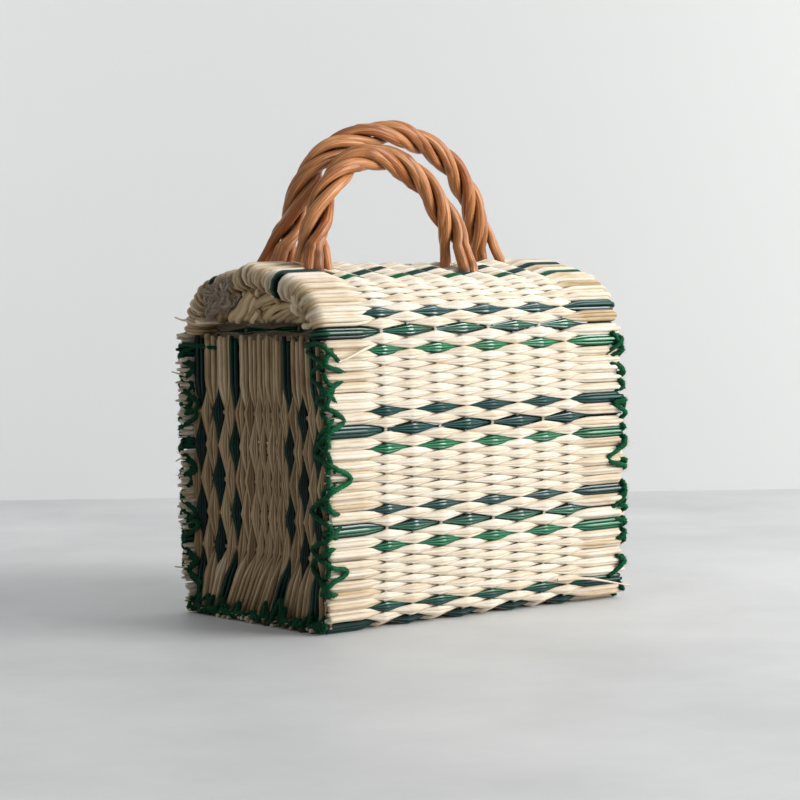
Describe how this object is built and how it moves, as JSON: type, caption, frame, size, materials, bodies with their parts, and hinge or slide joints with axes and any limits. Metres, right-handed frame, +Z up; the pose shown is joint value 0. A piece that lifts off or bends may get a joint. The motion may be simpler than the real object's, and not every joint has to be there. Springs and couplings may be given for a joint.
{
  "type": "woven rush box bag",
  "caption": "Small box bag woven from pale rush with green stripes, sewn at the ends with green yarn, with a two-flap lid and twisted willow handles.",
  "frame": {"origin": "on the ground, under the middle of the bag", "axes": "+Z up, front wall towards -Y, +X to the right seen from the front"},
  "size_m": [0.2406, 0.159, 0.3058],
  "materials": {
    "rush": "woven dry rush, satin, with dyed green bundles",
    "yarn": "fuzzy deep green wool yarn",
    "willow": "satin buff willow rods"
  },
  "bodies": {
    "basket": {"body_mat": "rush", "left_end_panel": "rush", "right_end_panel": "rush", "left_seam_yarn": "yarn", "right_seam_yarn": "yarn"},
    "front_flap": {"front_flap": "rush", "front_strand_1": "willow", "front_strand_2": "willow", "front_strand_3": "willow"},
    "back_flap": {"back_flap": "rush", "back_strand_1": "willow", "back_strand_2": "willow", "back_strand_3": "willow"}
  },
  "joints": [
    {"name": "front_flap_hinge", "type": "hinge", "parent": "basket", "child": "front_flap", "pos_m": [0, -0.073, 0.1755], "axis": [1, 0, 0], "range_deg": [0, 110]},
    {"name": "back_flap_hinge", "type": "hinge", "parent": "basket", "child": "back_flap", "pos_m": [0, 0.073, 0.1755], "axis": [-1, 0, 0], "range_deg": [0, 110]}
  ]
}
